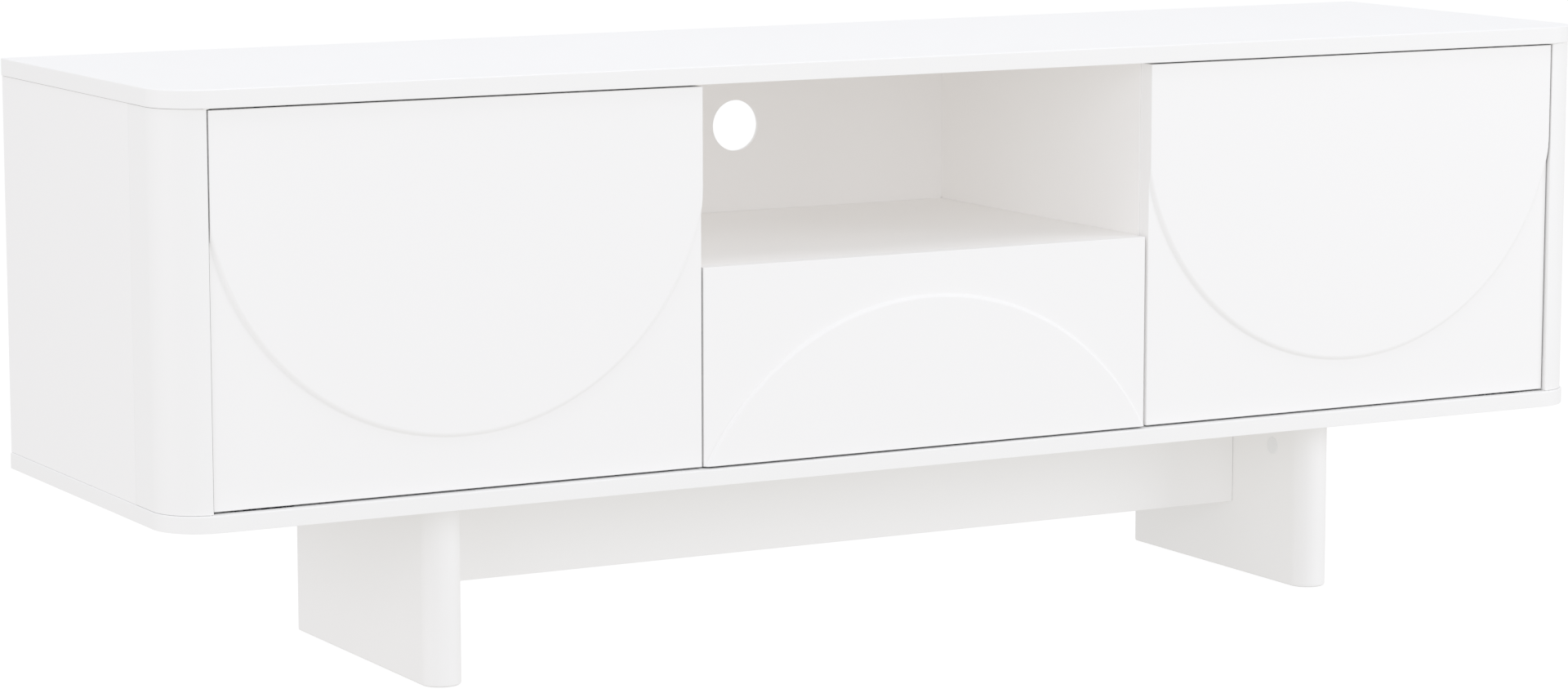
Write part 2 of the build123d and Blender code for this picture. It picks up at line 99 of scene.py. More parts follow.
def makeSprayedCoat():
    # sprayed lacquer: a fine orange peel, a slow mottle of the gloss and painted shade that darkens the colour in
    # narrow gaps
    group, start, end = startGroup(
        "sprayed coat",
        [("Color", "NodeSocketColor", (0.8, 0.8, 0.8, 1)), ("Shift", "NodeSocketFloat", 0.012),
         ("Roughness", "NodeSocketFloat", 0.4), ("Peel", "NodeSocketFloat", 0.25),
         ("Gap Shade", "NodeSocketFloat", 0.12)],
        [("Color", "NodeSocketColor"), ("Roughness", "NodeSocketFloat"), ("Normal", "NodeSocketVector")])
    link = group.links.new
    place = addNode(group, "ShaderNodeTexCoord")
    mottle = addNode(group, "ShaderNodeTexNoise", scale=coat["mottleScale"], detail=coat["mottleDetail"])
    cloud = addNode(group, "ShaderNodeTexNoise", scale=coat["cloudScale"], detail=coat["cloudDetail"])
    peel = addNode(group, "ShaderNodeTexNoise", scale=coat["peelScale"], detail=coat["peelDetail"])
    for noise in (mottle, cloud, peel):
        link(place.outputs["Object"], noise.inputs["Vector"])

    swing = addNode(group, "ShaderNodeMath", operation="SUBTRACT")
    link(mottle.outputs["Fac"], swing.inputs[0])
    swing.inputs[1].default_value = 0.5
    amount = addNode(group, "ShaderNodeMath", operation="MULTIPLY_ADD")
    link(swing.outputs[0], amount.inputs[0])
    link(start.outputs["Shift"], amount.inputs[1])
    amount.inputs[2].default_value = 1.0
    tint = addNode(group, "ShaderNodeVectorMath", operation="SCALE")
    link(start.outputs["Color"], tint.inputs[0])
    link(amount.outputs[0], tint.inputs["Scale"])

    # painted shade: the colour is darkened in narrow gaps and crevices, the more so the more closed in they are
    openness = addNode(group, "ShaderNodeAmbientOcclusion", samples=coat["gapSamples"], distance=coat["gapReach"])
    paintedGapShade = addNode(group, "ShaderNodeMapRange", from_min=coat["gapClosed"], from_max=coat["gapOpen"])
    link(openness.outputs["AO"], paintedGapShade.inputs["Value"])
    link(start.outputs["Gap Shade"], paintedGapShade.inputs["To Min"])
    shaded = addNode(group, "ShaderNodeVectorMath", operation="SCALE")
    link(tint.outputs["Vector"], shaded.inputs[0])
    link(paintedGapShade.outputs["Result"], shaded.inputs["Scale"])
    link(shaded.outputs["Vector"], end.inputs["Color"])

    gloss = addNode(group, "ShaderNodeMapRange", from_min=0.3, from_max=0.7, to_min=-coat["glossSwing"],
                    to_max=coat["glossSwing"])
    link(cloud.outputs["Fac"], gloss.inputs["Value"])
    rough = addNode(group, "ShaderNodeMath", operation="ADD")
    link(gloss.outputs["Result"], rough.inputs[0])
    link(start.outputs["Roughness"], rough.inputs[1])
    link(rough.outputs[0], end.inputs["Roughness"])

    bump = addNode(group, "ShaderNodeBump", distance=coat["peelHeight"])
    link(peel.outputs["Fac"], bump.inputs["Height"])
    link(start.outputs["Peel"], bump.inputs["Strength"])
    link(bump.outputs["Normal"], end.inputs["Normal"])
    return group


grain = {"detail": 6.0, "roughnessSwing": 0.16, "height": 0.0001}


def makeGrain():
    # straight fibres or rolling marks along one axis, as a bump and a tint
    group, start, end = startGroup(
        "straight grain",
        [("Color", "NodeSocketColor", (0.5, 0.5, 0.5, 1)), ("Dark Color", "NodeSocketColor", (0.3, 0.3, 0.3, 1)),
         ("Stretch", "NodeSocketVector", (1, 1, 1)), ("Scale", "NodeSocketFloat", 60.0),
         ("Roughness", "NodeSocketFloat", 0.5), ("Depth", "NodeSocketFloat", 0.3)],
        [("Color", "NodeSocketColor"), ("Roughness", "NodeSocketFloat"), ("Normal", "NodeSocketVector")])
    link = group.links.new
    place = addNode(group, "ShaderNodeTexCoord")
    stretched = addNode(group, "ShaderNodeVectorMath", operation="MULTIPLY")
    link(place.outputs["Object"], stretched.inputs[0])
    link(start.outputs["Stretch"], stretched.inputs[1])
    noise = addNode(group, "ShaderNodeTexNoise", detail=grain["detail"])
    link(stretched.outputs["Vector"], noise.inputs["Vector"])
    link(start.outputs["Scale"], noise.inputs["Scale"])

    mix = addNode(group, "ShaderNodeMix", data_type="RGBA")
    link(noise.outputs["Fac"], mix.inputs[0])
    link(start.outputs["Color"], mix.inputs[6])
    link(start.outputs["Dark Color"], mix.inputs[7])
    link(mix.outputs[2], end.inputs["Color"])
    gloss = addNode(group, "ShaderNodeMath", operation="MULTIPLY_ADD")
    link(noise.outputs["Fac"], gloss.inputs[0])
    gloss.inputs[1].default_value = grain["roughnessSwing"]
    link(start.outputs["Roughness"], gloss.inputs[2])
    link(gloss.outputs[0], end.inputs["Roughness"])
    bump = addNode(group, "ShaderNodeBump", distance=grain["height"])
    link(noise.outputs["Fac"], bump.inputs["Height"])
    link(start.outputs["Depth"], bump.inputs["Strength"])
    link(bump.outputs["Normal"], end.inputs["Normal"])
    return group


sprayedCoat = makeSprayedCoat()
straightGrain = makeGrain()


# ---- materials
def startMaterial(name, group, values, shaderValues):
    material = bpy.data.materials.new(name)
    material.use_nodes = True
    tree = material.node_tree
    shader = tree.nodes["Principled BSDF"]
    for socketName, value in shaderValues.items():
        shader.inputs[socketName].default_value = value
    effect = tree.nodes.new("ShaderNodeGroup")
    effect.node_tree = group
    for socketName, value in values.items():
        effect.inputs[socketName].default_value = value
    tree.links.new(effect.outputs["Color"], shader.inputs["Base Color"])
    tree.links.new(effect.outputs["Roughness"], shader.inputs["Roughness"])
    tree.links.new(effect.outputs["Normal"], shader.inputs["Normal"])
    return material


def coated(name, color, shift, roughness, peel, shaderValues):
    return startMaterial(name, sprayedCoat,
                         {"Color": (*color, 1), "Shift": shift, "Roughness": roughness, "Peel": peel}, shaderValues)


def grained(name, color, darkColor, stretch, scale, roughness, depth, shaderValues):
    return startMaterial(name, straightGrain,
                         {"Color": (*color, 1), "Dark Color": (*darkColor, 1), "Stretch": stretch, "Scale": scale,
                          "Roughness": roughness, "Depth": depth}, shaderValues)


# coated: colour, shift of the tint, roughness, orange peel
# grained: colour, dark colour, stretch along the grain, scale, roughness, depth
finishes = {
    "caseLacquer": coated("case lacquer", (0.914, 0.903, 0.882), 0.008, 0.42, 0.2, {"Specular IOR Level": 0.4}),
    "whiteLacquer": coated("white lacquer", (0.945, 0.93, 0.912), 0.008, 0.42, 0.2, {"Specular IOR Level": 0.4}),
    # painted light: the niche lacquer and the painted hardboard are paler than the white lacquer so that the shaded
    # niche reads brighter; their warm tint is their own colour
    "brightenedNicheLacquer": coated("brightened niche lacquer", (0.972, 0.948, 0.92), 0.008, 0.46, 0.25, {"Specular IOR Level": 0.4}),
    "whiteMelamine": coated("white melamine", (0.925, 0.91, 0.892), 0.008, 0.55, 0.5, {"Specular IOR Level": 0.35}),
    "paintedHardboard": coated("painted hardboard", (0.962, 0.934, 0.905), 0.012, 0.6, 0.8,
                               {"Specular IOR Level": 0.3}),
    "beech": grained("beech", (0.62, 0.42, 0.24), (0.45, 0.27, 0.14), (0.1, 1, 1), 240.0, 0.55, 0.4, {}),
    "zincSteel": grained("zinc plated steel", (0.66, 0.67, 0.69), (0.5, 0.51, 0.54), (1, 0.06, 1), 300.0, 0.22,
                         0.12, {"Metallic": 1.0}),
    "blackSteel": grained("blackened steel", (0.02, 0.02, 0.021), (0.009, 0.009, 0.01), (1, 0.06, 1), 300.0, 0.42,
                          0.12, {"Metallic": 0.6}),
    "whitePlastic": coated("white plastic", (0.82, 0.82, 0.81), 0.01, 0.38, 0.4, {}),
    "greyPlastic": coated("grey plastic", (0.045, 0.045, 0.05), 0.05, 0.5, 0.5, {}),
    "whiteFelt": coated("white felt", (0.7, 0.7, 0.69), 0.06, 0.95, 1.0, {"Sheen Weight": 0.3}),
}
print("materials made:", len(finishes))


def giveFinish(piece, finish):
    piece.data.materials.clear()
    piece.data.materials.append(finishes[finish])


# ---- how a piece is handed to the frame
def handOver(piece, body, nodeNames, finish):
    if finish:
        giveFinish(piece, finish)
    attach(piece, body)
    if nodeNames:
        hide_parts(*nodeNames)


# ---- shaping, all in metres
near = 1e-5  # places that count as the same
nearer = 1e-6
alongX = (0, pi / 2, 0)  # turns of a round bar
alongY = (pi / 2, 0, 0)


def applyPlace():
    bpy.ops.object.transform_apply(location=True, rotation=True, scale=True)


def addBox(name, low, high):
    bpy.ops.object.select_all(action="DESELECT")
    bpy.ops.mesh.primitive_cube_add(size=1, location=(Vector(low) + Vector(high)) / 2)
    piece = bpy.context.object
    piece.name = name
    piece.scale = Vector(high) - Vector(low)
    applyPlace()
    return piece


def addBar(radius, length, place, turn=(0, 0, 0), roundSides=32):
    bpy.ops.object.select_all(action="DESELECT")
    bpy.ops.mesh.primitive_cylinder_add(vertices=roundSides, radius=radius, depth=length, location=place,
                                        rotation=turn)
    bar = bpy.context.object
    applyPlace()
    return bar


def selectWhere(piece, kind, wanted):
    bpy.ops.object.mode_set(mode="EDIT")
    bpy.ops.mesh.select_mode(type=kind)
    bpy.ops.mesh.select_all(action="DESELECT")
    shape = bmesh.from_edit_mesh(piece.data)
    for part in {"VERT": shape.verts, "EDGE": shape.edges, "FACE": shape.faces}[kind]:
        part.select_set(wanted(part))
    bmesh.update_edit_mesh(piece.data)


def upright(edge, along=2):
    step = edge.verts[1].co - edge.verts[0].co
    return abs(abs(step[along]) - step.length) < nearer


def roundEdges(piece, radius, segments, wanted):
    selectWhere(piece, "EDGE", wanted)
    bpy.ops.mesh.bevel(offset=radius, segments=segments, profile=0.5, affect="EDGES", clamp_overlap=False)
    bpy.ops.object.mode_set(mode="OBJECT")


def easeEdges(piece, width, segments=3, limit=35):
    bpy.context.view_layer.objects.active = piece
    ease = piece.modifiers.new("ease", "BEVEL")
    ease.width = width
    ease.segments = segments
    ease.limit_method = "ANGLE"
    ease.angle_limit = radians(limit)
    ease.use_clamp_overlap = False
    bpy.ops.object.modifier_apply(modifier=ease.name)
    smoothShape(piece)


def smoothShape(piece, angle=38):
    bpy.ops.object.select_all(action="DESELECT")
    piece.select_set(True)
    bpy.context.view_layer.objects.active = piece
    bpy.ops.object.shade_smooth_by_angle(angle=radians(angle))
    flat = piece.modifiers.new("keep faces flat", "WEIGHTED_NORMAL")
    flat.keep_sharp = True
    bpy.ops.object.modifier_apply(modifier=flat.name)


def cutAway(piece, cutter):
    # the cutter is used up
    saw = piece.modifiers.new("cut", "BOOLEAN")
    saw.operation = "DIFFERENCE"
    saw.solver = "EXACT"
    saw.object = cutter
    bpy.context.view_layer.objects.active = piece
    bpy.ops.object.modifier_apply(modifier=saw.name)
    bpy.data.objects.remove(cutter)


def joinPieces(name, pieces):
    bpy.ops.object.select_all(action="DESELECT")
    for piece in pieces:
        piece.select_set(True)
    bpy.context.view_layer.objects.active = pieces[0]
    bpy.ops.object.join()
    joined = bpy.context.object
    joined.name = name
    applyPlace()
    return joined


# ---- case
case = {"cornerRadius": 0.045, "cornerSegments": 28, "topEase": 0.0011, "panelEase": 0.0005, "boardEase": 0.0005,
        "sideEase": 0.0001, "shelfEase": 0.0008, "postSetBack": 0.0032, "jointDepth": 0.003, "topJoint": 0.0004,
        "bottomJoint": 0.0002, "dividerReach": 0.001, "dividerEase": 0.0002}


def atFront(edge, low):
    return upright(edge) and edge.verts[0].co.y < low.y + near


def casePanel(name, node):
    low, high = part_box(node)
    panel = addBox(name, low, high)
    roundEdges(panel, case["cornerRadius"], case["cornerSegments"], lambda edge: atFront(edge, low))
    roundEdges(panel, case["topEase"], 4, lambda edge: all(vert.co.z > high.z - near for vert in edge.verts))
    easeEdges(panel, case["panelEase"])
    handOver(panel, "carcass", [node], "caseLacquer")


def betweenPanels(node):
    low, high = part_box(node)
    low.z, high.z = low.z + case["bottomJoint"], high.z - case["topJoint"]
    return low, high


def jointLines(piece):
    # the board stops just short of the panels all round, and its core reaches them
    for up, gap in ((1, case["topJoint"]), (-1, case["bottomJoint"])):
        selectWhere(piece, "FACE", lambda face: face.normal.z * up > 0.9)
        bpy.ops.mesh.inset(thickness=case["jointDepth"])
        bpy.ops.mesh.extrude_region_move(TRANSFORM_OT_translate={"value": (0, 0, up * gap)})
        bpy.ops.object.mode_set(mode="OBJECT")


def cornerPost(side, sign):
    node = side + "_corner_post"
    low, high = betweenPanels(node)
    low.y += case["postSetBack"]
    post = addBox(side + "Post", low, high)
    outer = high.x if sign > 0 else low.x
    roundEdges(post, case["cornerRadius"] - case["postSetBack"], case["cornerSegments"],
               lambda edge: atFront(edge, low) and abs(edge.verts[0].co.x - outer) < near)
    jointLines(post)
    easeEdges(post, case["boardEase"], 2)
    handOver(post, "carcass", [node], "caseLacquer")


def sidePanel(side):
    node = side + "_side_panel"
    panel = addBox(side + "SidePanel", *betweenPanels(node))
    jointLines(panel)
    easeEdges(panel, case["sideEase"], 1)
    handOver(panel, "carcass", [node], "whiteLacquer")


def divider(side):
    node = side + "_divider"
    low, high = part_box(node)
    low.y -= case["dividerReach"]  # up to the back of the closed door
    panel = addBox(side + "Divider", low, high)
    easeEdges(panel, case["dividerEase"], 2)
    handOver(panel, "carcass", [node], "brightenedNicheLacquer")


def board(name, node, body, ease, finish="whiteLacquer"):
    piece = addBox(name, *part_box(node))
    easeEdges(piece, ease)
    handOver(piece, body, [node], finish)


back = {"holeSides": 96, "cutLength": 0.02, "ease": 0.0003}


def backPanel():
    hole = next(mount for mount in frame["record"]["mounts"] if mount["name"] == "cable_hole")
    panel = addBox("backPanel", *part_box("back_panel"))
    cutAway(panel, addBar(hole["dims"]["r_mm"] / 1000, back["cutLength"], hole["pos_m"], alongY, back["holeSides"]))
    easeEdges(panel, back["ease"], 2)
    handOver(panel, "carcass", ["back_panel"], "paintedHardboard")


casePanel("topPanel", "top_panel")
casePanel("bottomPanel", "bottom_panel")
for side, sign in sides:
    cornerPost(side, sign)
    sidePanel(side)
    divider(side)
    board(side + "Shelf", side + "_shelf", "carcass", case["shelfEase"], "whiteMelamine")
board("nicheShelf", "niche_shelf", "carcass", case["boardEase"], "brightenedNicheLacquer")
backPanel()
print("case made")

# ---- legs and stretcher
legs = {"noseSegments": 20, "footEase": 0.002, "footSegments": 4, "stretcherEase": 0.0008}
caps = {"radius": 0.0085, "proud": 0.0011, "roundSides": 48, "ease": 0.0007, "easeSegments": 4}


def bladeLeg(side):
    node = side + "_leg"
    low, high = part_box(node)
    leg = addBox(side + "Leg", low, high)
    roundEdges(leg, (high.x - low.x) / 2 - near, legs["noseSegments"], lambda edge: atFront(edge, low))
    easeEdges(leg, legs["footEase"], legs["footSegments"])
    handOver(leg, "carcass", [node], "whiteLacquer")


def camCovers():
    low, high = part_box("leg_cams")
    radius = (high.z - low.z) / 2
    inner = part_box("right_leg")[0].x
    covers = []
    for x in (inner, -inner):
        for y in (low.y + radius, high.y - radius):
            cover = addBar(caps["radius"], 2 * caps["proud"], (x, y, (low.z + high.z) / 2), alongX,
                           caps["roundSides"])
            easeEdges(cover, caps["ease"], caps["easeSegments"])
            covers.append(cover)
    handOver(joinPieces("camCovers", covers), "carcass", ["leg_cams"], "whitePlastic")


for side, _ in sides:
    bladeLeg(side)
board("stretcherBoard", "stretcher", "carcass", legs["stretcherEase"])
camCovers()
print("legs made")

# ---- doors and drawer front
fronts = {"discSides": 256, "relief": 0.0034, "roundFall": 0.0024, "arcSteps": 5, "sheetSpare": 1.1,
          "ease": 0.0005, "easeSteps": 4, "backEase": 0.0002, "smoothAngle": 32}
doors = {"discDrop": 0.2955, "discSideDrop": 0.1097, "roundWidth": 0.0038}
drawer = {"discRadius": 0.266, "discRise": 0.1405, "roundWidth": 0.0028, "leftReach": 0.0013, "boxEase": 0.0008}


def edgeProfile(radius, width):
    # steps of (radius, fall) from the raised face over its rounded edge into the hollow at the disc's foot
    fall, drop = fronts["roundFall"], fronts["relief"]
    slope = 2 * atan(fall / width)
    over, hollow = width / sin(slope), (drop - fall) / (1 - cos(slope))  # the radii of the two bends
    turns = [slope * step / fronts["arcSteps"] for step in range(fronts["arcSteps"] + 1)]
    top = [(radius - width + over * sin(turn), over * (1 - cos(turn))) for turn in turns]
    foot = [(radius + hollow * (sin(slope) - sin(turn)), drop - hollow * (1 - cos(turn)))
            for turn in reversed(turns)]
    return top + foot[1:]


def raisedDisc(name, centre, steps, reach, stretchUp):
    # a flat disc whose rim is drawn out ring by ring, down its edge and past the outline of the front
    bpy.ops.object.select_all(action="DESELECT")
    bpy.ops.mesh.primitive_circle_add(vertices=fronts["discSides"], radius=steps[0][0], fill_type="NGON",
                                      location=centre, rotation=alongY)
    front = bpy.context.object
    front.name = name
    applyPlace()
    if stretchUp:  # the raised face of a door runs on to its sides and its top
        selectWhere(front, "VERT", lambda vert: vert.co.z > centre[2] + nearer)
        bpy.ops.transform.translate(value=(0, 0, stretchUp))
    bpy.ops.object.mode_set(mode="EDIT")
    bpy.ops.mesh.select_mode(type="EDGE")
    bpy.ops.mesh.select_all(action="SELECT")
    for (radius, fall), (nextRadius, nextFall) in zip(steps, steps[1:] + [(reach, steps[-1][1])]):
        bpy.ops.mesh.extrude_edges_move(TRANSFORM_OT_translate={"value": (0, nextFall - fall, 0)})
        bpy.ops.transform.resize(value=(nextRadius / radius, 1, nextRadius / radius), center_override=centre)
    return front


def roundOutline(front, low, high):
    # the sheet is cut to the outline and along lines inside it, which then sink to a rounded edge
    ease = fronts["ease"]
    turns = [pi / 2 * step / fronts["easeSteps"] for step in range(fronts["easeSteps"] + 1)]
    levels = [(ease * (1 - cos(turn)), ease * (1 - sin(turn))) for turn in turns]  # inset, fall
    for inset, _ in levels:
        for corner, axis in ((low, -1), (high, 1)):
            for normal in (Vector((axis, 0, 0)), Vector((0, 0, axis))):
                bpy.ops.mesh.select_all(action="SELECT")
                bpy.ops.mesh.bisect(plane_co=corner - normal * inset, plane_no=normal, clear_outer=inset == 0)
    bpy.ops.mesh.select_all(action="SELECT")
    bpy.ops.mesh.remove_doubles(threshold=nearer)

    def depthInside(place):
        return min(abs(place.x - low.x), abs(place.x - high.x), abs(place.z - low.z), abs(place.z - high.z))

    for inset, fall in levels[:-1]:
        selectWhere(front, "VERT", lambda vert: abs(depthInside(vert.co) - inset) < 2 * nearer)
        bpy.ops.transform.translate(value=(0, fall, 0))
    bpy.ops.object.mode_set(mode="OBJECT")


def closeBack(front, high, depth):
    selectWhere(front, "EDGE", lambda edge: edge.is_boundary)
    bpy.ops.mesh.extrude_edges_move(TRANSFORM_OT_translate={"value": (0, depth, 0)})
    bpy.ops.transform.resize(value=(1, 0, 1), center_override=(0, high.y, 0))
    bpy.ops.mesh.edge_face_add()
    bpy.ops.mesh.select_all(action="SELECT")
    bpy.ops.mesh.normals_make_consistent(inside=False)
    bpy.ops.object.mode_set(mode="OBJECT")
    roundEdges(front, fronts["backEase"], 2,
               lambda edge: all(abs(vert.co.y - high.y) < nearer for vert in edge.verts))


def reliefFront(name, node, body, discX, discZ, discRadius, roundWidth, stretchUp=0, leftReach=0):
    low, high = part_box(node)
    low.x -= leftReach
    farCorner = max(hypot(x - discX, z - discZ) for x in (low.x, high.x) for z in (low.z, high.z))
    reach = farCorner * fronts["sheetSpare"]
    front = raisedDisc(name, (discX, low.y, discZ), edgeProfile(discRadius, roundWidth), reach, stretchUp)
    roundOutline(front, low, high)
    closeBack(front, high, high.y - low.y)
    smoothShape(front, fronts["smoothAngle"])
    handOver(front, body, [node], "whiteLacquer")


for side, _ in sides:
    low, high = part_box(side + "_door_panel")
    arcHeight = doors["discDrop"] - doors["discSideDrop"]
    discRadius = (((high.x - low.x) / 2)**2 + arcHeight**2) / (2 * arcHeight)
    reliefFront(side + "Door", side + "_door_panel", side + "_door", (low.x + high.x) / 2,
                high.z - doors["discDrop"] + discRadius, discRadius, doors["roundWidth"], stretchUp=discRadius)
low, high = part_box("drawer_front")
reliefFront("drawerFront", "drawer_front", "drawer", 0, low.z + drawer["discRise"] - drawer["discRadius"],
            drawer["discRadius"], drawer["roundWidth"], leftReach=drawer["leftReach"])
print("fronts made")

# ---- drawer box
for name, node in (("drawerRightSide", "drawer_right_side"), ("drawerLeftSide", "drawer_left_side"),
                   ("drawerBack", "drawer_back")):
    board(name, node, "drawer", drawer["boxEase"], "whiteMelamine")
print("drawer box made")

# ---- countersunk screws, modelled once; lengths are in head radii
screws = {"headSides": 24, "headDepth": 0.5, "headEase": 0.05, "slotLength": 1.15, "slotWidth": 0.24,
          "slotDepth": 0.28}


def modelScrew():
    # a head of radius 1 that faces +Z, its face at the origin's level
    head = addBar(1, screws["headDepth"], (0, 0, -screws["headDepth"] / 2), roundSides=screws["headSides"])
    head.name = "screwHead"
    long, wide = screws["slotLength"] / 2, screws["slotWidth"] / 2
    for x, y in ((long, wide), (wide, long)):
        cutAway(head, addBox("driver", (-x, -y, -screws["slotDepth"]), (x, y, 1)))
    easeEdges(head, screws["headEase"], 2)
    giveFinish(head, "zincSteel")
    return head


screwHead = modelScrew()


def placeScrew(place, direction, radius, turn):
    bpy.ops.object.select_all(action="DESELECT")
    screwHead.select_set(True)
    bpy.context.view_layer.objects.active = screwHead
    bpy.ops.object.duplicate()
    screw = bpy.context.object
    aim = Vector(direction).to_track_quat("Z", "Y").to_matrix().to_4x4()
    screw.matrix_world = (Matrix.Translation(place) @ aim @ Matrix.Rotation(radians(turn), 4, "Z")
                          @ Matrix.Scale(radius, 4))
    applyPlace()
    return screw


# ---- knife hinges
hinges = {"thickness": 0.0025, "proud": 0.0001, "leafEase": 0.00012, "endSegments": 10, "pivotIn": 0.005,
          "pinRadius": 0.002, "pinShort": 0.0003, "boreRadius": 0.00205, "boreReach": 0.01, "collarRadius": 0.004,
          "collarHeight": 0.0019, "collarEase": 0.0003, "gap": 0.002, "screwRadius": 0.0027, "screwProud": 0.00004,
          "screwPlaces": (0.018, 0.042), "screwTurn": 25, "turnPerMetre": 4000}


def hingeLeaf(low, high, face, out, pivotX, sign):
    # out is +1 where the leaf's free face looks up
    outer = face + out * hinges["proud"]
    inner = face - out * hinges["thickness"]
    leaf = addBox("leaf", (low.x, low.y, min(outer, inner)), (high.x, high.y, max(outer, inner)))
    roundEdges(leaf, (high.y - low.y) / 2 - near, hinges["endSegments"], upright)
    easeEdges(leaf, hinges["leafEase"], 2)
    giveFinish(leaf, "blackSteel")
    heads = [placeScrew((pivotX - sign * step, (low.y + high.y) / 2, outer + out * hinges["screwProud"]),
                        (0, 0, out), hinges["screwRadius"], hinges["screwTurn"] + hinges["turnPerMetre"] * step)
             for step in hinges["screwPlaces"]]
    return leaf, heads


def hingePair(side, sign):
    low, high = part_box(side + "_door_leaves")
    pivotX = (high.x if sign > 0 else low.x) - sign * hinges["pivotIn"]
    middleY = (low.y + high.y) / 2

    def onPivot(radius, z0, z1):
        return addBar(radius, abs(z1 - z0), (pivotX, middleY, (z0 + z1) / 2))

    doorPieces, casePieces = [], []
    for doorFace, out in ((low.z, -1), (high.z, 1)):
        leaf, heads = hingeLeaf(low, high, doorFace, out, pivotX, sign)
        cutAway(leaf, onPivot(hinges["boreRadius"], doorFace - hinges["boreReach"], doorFace + hinges["boreReach"]))
        doorPieces += [leaf, *heads]
        caseFace = doorFace + out * hinges["gap"]
        leaf, heads = hingeLeaf(low, high, caseFace, -out, pivotX, sign)
        pin = onPivot(hinges["pinRadius"], caseFace, doorFace - out * (hinges["thickness"] - hinges["pinShort"]))
        giveFinish(pin, "blackSteel")
        casePieces += [leaf, pin, *heads]
        if out < 0:  # the lower hinge carries the door on a collar
            collar = onPivot(hinges["collarRadius"], caseFace, caseFace + hinges["collarHeight"])
            easeEdges(collar, hinges["collarEase"], 3)
            giveFinish(collar, "blackSteel")
            casePieces.append(collar)
    handOver(joinPieces(side + "DoorLeaves", doorPieces), side + "_door", [side + "_door_leaves"], None)
    handOver(joinPieces(side + "CaseLeaves", casePieces), "carcass", [side + "_case_leaves"], None)


for side, sign in sides:
    hingePair(side, sign)
print("hinges made")

# ---- push latches and strike plates
latches = {"earLength": 0.010, "earThickness": 0.003, "earOverlap": 0.002, "earRadius": 0.004, "earEase": 0.0005,
           "bodyEase": 0.0014, "boreSize": 0.0081, "boreDepth": 0.058, "boreLead": 0.001,
           "groovePlaces": (0.008, 0.012, 0.016), "grooveWidth": 0.0012, "grooveDepth": 0.0006, "grooveEnd": 0.003,
           "screwRadius": 0.0032, "screwBehindEar": 0.004, "screwProud": 0.0002, "screwTurn": 20}
plungers = {"ease": 0.0008, "magnetRadius": 0.0027, "magnetLength": 0.002, "magnetMiddle": 0.0009}
plates = {"cornerRadius": 0.0025, "ease": 0.0002, "screwRadius": 0.0031, "screwProud": 0.00005, "screwTurn": 35}


def latchHousing(name, node, middle, away):
    # away is -1 where the latch hangs from the top panel
    low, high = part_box(node)
    bodyRear = high.y - latches["earLength"]
    body = addBox(name, low, (high.x, bodyRear, high.z))
    half = latches["boreSize"] / 2
    easeEdges(body, latches["bodyEase"], 4)
    cutAway(body, addBox("bore", (middle.x - half, low.y - latches["boreLead"], middle.z - half),
                         (middle.x + half, low.y + latches["boreDepth"], middle.z + half)))
    deep, end = latches["grooveDepth"], latches["grooveEnd"]
    for step in latches["groovePlaces"]:  # grip grooves on both sides
        for x in (low.x, high.x):
            cutAway(body, addBox("groove", (x - deep, low.y + step, low.z + end),
                                 (x + deep, low.y + step + latches["grooveWidth"], high.z - end)))
    panelZ = high.z if away < 0 else low.z
    earZ = panelZ + away * latches["earThickness"]
    ear = addBox("ear", (low.x, bodyRear - latches["earOverlap"], min(panelZ, earZ)),
                 (high.x, high.y, max(panelZ, earZ)))
    roundEdges(ear, latches["earRadius"], 8, lambda edge: upright(edge) and edge.verts[0].co.y > bodyRear)
    easeEdges(ear, latches["earEase"], 3)
    for piece in (body, ear):
        giveFinish(piece, "whitePlastic")
    head = placeScrew((middle.x, bodyRear + latches["screwBehindEar"],
                       panelZ + away * (latches["earThickness"] + latches["screwProud"])),
                      (0, 0, away), latches["screwRadius"], latches["screwTurn"])
    handOver(joinPieces(name + "Housing", [body, ear, head]), "carcass", [node], None)


def latchPlunger(name, node, body, low, high, middle):
    plunger = addBox(name + "Plunger", low, high)
    easeEdges(plunger, plungers["ease"], 3)
    giveFinish(plunger, "whitePlastic")
    magnet = addBar(plungers["magnetRadius"], plungers["magnetLength"],
                    (middle.x, low.y + plungers["magnetMiddle"], middle.z), alongY)
    giveFinish(magnet, "zincSteel")
    handOver(joinPieces(name + "Plunger", [plunger, magnet]), body, [node], None)


def strikePlate(name, node, body, middle):
    low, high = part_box(node)
    plate = addBox(name + "Plate", low, high)
    roundEdges(plate, plates["cornerRadius"], 8, lambda edge: upright(edge, 1))
    easeEdges(plate, plates["ease"], 2)
    giveFinish(plate, "zincSteel")
    head = placeScrew((middle.x, high.y + plates["screwProud"], middle.z), (0, 1, 0), plates["screwRadius"],
                      plates["screwTurn"])
    handOver(joinPieces(name + "StrikePlate", [plate, head]), body, [node], None)


def pushLatch(side, plateBody, away):
    name, plungerNode = side + "Latch", side + "_latch_plunger"
    low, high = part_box(plungerNode)
    middle = (low + high) / 2
    latchHousing(name, side + "_latch_housing", middle, away)
    latchPlunger(name, plungerNode, side + "_plunger", low, high, middle)
    strikePlate(name, side + "_strike_plate", plateBody, middle)


for side, _ in sides:
    pushLatch(side, side + "_door", -1)
pushLatch("drawer", "drawer", 1)
print("latches made")

# ---- screws and balls of the drawer runners
runners = {"sheet": 0.0012, "screwPlaces": (0.035, 0.13, 0.31), "screwRadius": 0.0034, "screwProud": 0.0007,
           "screwTurn": 15, "turnPerMetre": 900, "ballRadius": 0.0019, "ballPitch": 0.0105, "cageHeight": 0.0035,
           "outerCageWidth": 0.006, "innerCageWidth": 0.004}


